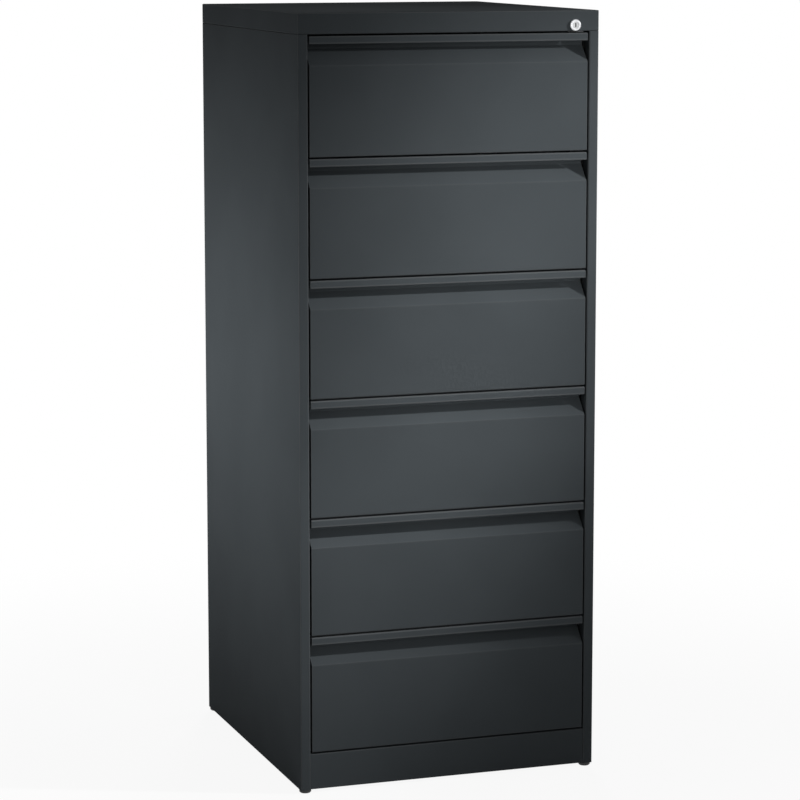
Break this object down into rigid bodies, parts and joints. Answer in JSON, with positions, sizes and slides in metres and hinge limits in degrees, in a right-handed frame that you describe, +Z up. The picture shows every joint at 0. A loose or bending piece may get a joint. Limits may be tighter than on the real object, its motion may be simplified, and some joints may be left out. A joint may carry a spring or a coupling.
{
  "type": "card index cabinet",
  "caption": "Tall narrow steel cabinet with stacked full-width drawers, a grip lip along each drawer's top edge, two card rows in each drawer and one lock in the top rail.",
  "frame": {"origin": "on the floor, under the middle of the outline seen from above, with the lock's nose included", "axes": "+X to the right as seen from the front, +Y towards the back so that the drawers open along -Y, +Z up"},
  "size_m": [0.55, 0.607, 1.357],
  "materials": {
    "grey_paint": "satin powder coat",
    "zinc_steel": "bright zinc plate",
    "lock_chrome": "polished chrome plate",
    "black_plastic": "matte moulded plastic"
  },
  "bodies": {
    "carcass": {"side_left": "grey_paint", "side_right": "grey_paint", "back_panel": "grey_paint", "top_cover": "grey_paint", "bottom_panel": "grey_paint", "plinth": "grey_paint", "feet": "black_plastic", "post_front_left": "zinc_steel", "post_front_right": "zinc_steel", "post_rear_left": "zinc_steel", "post_rear_right": "zinc_steel", "outer_rails_left": "zinc_steel", "outer_rails_right": "zinc_steel", "lock_housing": "lock_chrome", "lock_bar_guides": "zinc_steel"},
    "lock_plug": {"lock_cylinder": "lock_chrome"},
    "locking_bar": {"lock_bar": "zinc_steel", "lock_hooks": "zinc_steel"},
    "drawer_1": {"drawer_1_front": "grey_paint", "drawer_1_tray": "grey_paint", "drawer_1_partition": "grey_paint", "drawer_1_rails": "zinc_steel"},
    "slide_1": {"middle_rails_1": "zinc_steel"},
    "follower_1_left": {"follower_1_left": "zinc_steel"},
    "follower_1_right": {"follower_1_right": "zinc_steel"},
    "drawer_2": {"drawer_2_front": "grey_paint", "drawer_2_tray": "grey_paint", "drawer_2_partition": "grey_paint", "drawer_2_rails": "zinc_steel"},
    "slide_2": {"middle_rails_2": "zinc_steel"},
    "follower_2_left": {"follower_2_left": "zinc_steel"},
    "follower_2_right": {"follower_2_right": "zinc_steel"},
    "drawer_3": {"drawer_3_front": "grey_paint", "drawer_3_tray": "grey_paint", "drawer_3_partition": "grey_paint", "drawer_3_rails": "zinc_steel"},
    "slide_3": {"middle_rails_3": "zinc_steel"},
    "follower_3_left": {"follower_3_left": "zinc_steel"},
    "follower_3_right": {"follower_3_right": "zinc_steel"},
    "drawer_4": {"drawer_4_front": "grey_paint", "drawer_4_tray": "grey_paint", "drawer_4_partition": "grey_paint", "drawer_4_rails": "zinc_steel"},
    "slide_4": {"middle_rails_4": "zinc_steel"},
    "follower_4_left": {"follower_4_left": "zinc_steel"},
    "follower_4_right": {"follower_4_right": "zinc_steel"},
    "drawer_5": {"drawer_5_front": "grey_paint", "drawer_5_tray": "grey_paint", "drawer_5_partition": "grey_paint", "drawer_5_rails": "zinc_steel"},
    "slide_5": {"middle_rails_5": "zinc_steel"},
    "follower_5_left": {"follower_5_left": "zinc_steel"},
    "follower_5_right": {"follower_5_right": "zinc_steel"},
    "drawer_6": {"drawer_6_front": "grey_paint", "drawer_6_tray": "grey_paint", "drawer_6_partition": "grey_paint", "drawer_6_rails": "zinc_steel"},
    "slide_6": {"middle_rails_6": "zinc_steel"},
    "follower_6_left": {"follower_6_left": "zinc_steel"},
    "follower_6_right": {"follower_6_right": "zinc_steel"}
  },
  "joints": [
    {"name": "lock_turn", "type": "hinge", "parent": "carcass", "child": "lock_plug", "pos_m": [0.23, -0.2995, 1.3314], "axis": [0, -1, 0], "range_deg": [0, 90]},
    {"name": "lock_bar_lift", "type": "slide", "parent": "carcass", "child": "locking_bar", "axis": [0, 0, 1], "range_m": [0, 0.01131]},
    {"name": "drawer_1_slide", "type": "slide", "parent": "carcass", "child": "drawer_1", "axis": [0, -1, 0], "range_m": [0, 0.5]},
    {"name": "slide_1_middle", "type": "slide", "parent": "carcass", "child": "slide_1", "axis": [0, -1, 0], "range_m": [0, 0.25]},
    {"name": "follower_1_left_slide", "type": "slide", "parent": "drawer_1", "child": "follower_1_left", "axis": [0, -1, 0], "range_m": [0, 0.4]},
    {"name": "follower_1_right_slide", "type": "slide", "parent": "drawer_1", "child": "follower_1_right", "axis": [0, -1, 0], "range_m": [0, 0.4]},
    {"name": "drawer_2_slide", "type": "slide", "parent": "carcass", "child": "drawer_2", "axis": [0, -1, 0], "range_m": [0, 0.5]},
    {"name": "slide_2_middle", "type": "slide", "parent": "carcass", "child": "slide_2", "axis": [0, -1, 0], "range_m": [0, 0.25]},
    {"name": "follower_2_left_slide", "type": "slide", "parent": "drawer_2", "child": "follower_2_left", "axis": [0, -1, 0], "range_m": [0, 0.4]},
    {"name": "follower_2_right_slide", "type": "slide", "parent": "drawer_2", "child": "follower_2_right", "axis": [0, -1, 0], "range_m": [0, 0.4]},
    {"name": "drawer_3_slide", "type": "slide", "parent": "carcass", "child": "drawer_3", "axis": [0, -1, 0], "range_m": [0, 0.5]},
    {"name": "slide_3_middle", "type": "slide", "parent": "carcass", "child": "slide_3", "axis": [0, -1, 0], "range_m": [0, 0.25]},
    {"name": "follower_3_left_slide", "type": "slide", "parent": "drawer_3", "child": "follower_3_left", "axis": [0, -1, 0], "range_m": [0, 0.4]},
    {"name": "follower_3_right_slide", "type": "slide", "parent": "drawer_3", "child": "follower_3_right", "axis": [0, -1, 0], "range_m": [0, 0.4]},
    {"name": "drawer_4_slide", "type": "slide", "parent": "carcass", "child": "drawer_4", "axis": [0, -1, 0], "range_m": [0, 0.5]},
    {"name": "slide_4_middle", "type": "slide", "parent": "carcass", "child": "slide_4", "axis": [0, -1, 0], "range_m": [0, 0.25]},
    {"name": "follower_4_left_slide", "type": "slide", "parent": "drawer_4", "child": "follower_4_left", "axis": [0, -1, 0], "range_m": [0, 0.4]},
    {"name": "follower_4_right_slide", "type": "slide", "parent": "drawer_4", "child": "follower_4_right", "axis": [0, -1, 0], "range_m": [0, 0.4]},
    {"name": "drawer_5_slide", "type": "slide", "parent": "carcass", "child": "drawer_5", "axis": [0, -1, 0], "range_m": [0, 0.5]},
    {"name": "slide_5_middle", "type": "slide", "parent": "carcass", "child": "slide_5", "axis": [0, -1, 0], "range_m": [0, 0.25]},
    {"name": "follower_5_left_slide", "type": "slide", "parent": "drawer_5", "child": "follower_5_left", "axis": [0, -1, 0], "range_m": [0, 0.4]},
    {"name": "follower_5_right_slide", "type": "slide", "parent": "drawer_5", "child": "follower_5_right", "axis": [0, -1, 0], "range_m": [0, 0.4]},
    {"name": "drawer_6_slide", "type": "slide", "parent": "carcass", "child": "drawer_6", "axis": [0, -1, 0], "range_m": [0, 0.5]},
    {"name": "slide_6_middle", "type": "slide", "parent": "carcass", "child": "slide_6", "axis": [0, -1, 0], "range_m": [0, 0.25]},
    {"name": "follower_6_left_slide", "type": "slide", "parent": "drawer_6", "child": "follower_6_left", "axis": [0, -1, 0], "range_m": [0, 0.4]},
    {"name": "follower_6_right_slide", "type": "slide", "parent": "drawer_6", "child": "follower_6_right", "axis": [0, -1, 0], "range_m": [0, 0.4]}
  ],
  "couplings": [
    {"joint": "lock_turn", "follows": "lock_bar_lift", "rad_per_m": 138.84},
    {"joint": "slide_1_middle", "follows": "drawer_1_slide", "ratio": 0.5},
    {"joint": "slide_2_middle", "follows": "drawer_2_slide", "ratio": 0.5},
    {"joint": "slide_3_middle", "follows": "drawer_3_slide", "ratio": 0.5},
    {"joint": "slide_4_middle", "follows": "drawer_4_slide", "ratio": 0.5},
    {"joint": "slide_5_middle", "follows": "drawer_5_slide", "ratio": 0.5},
    {"joint": "slide_6_middle", "follows": "drawer_6_slide", "ratio": 0.5}
  ]
}
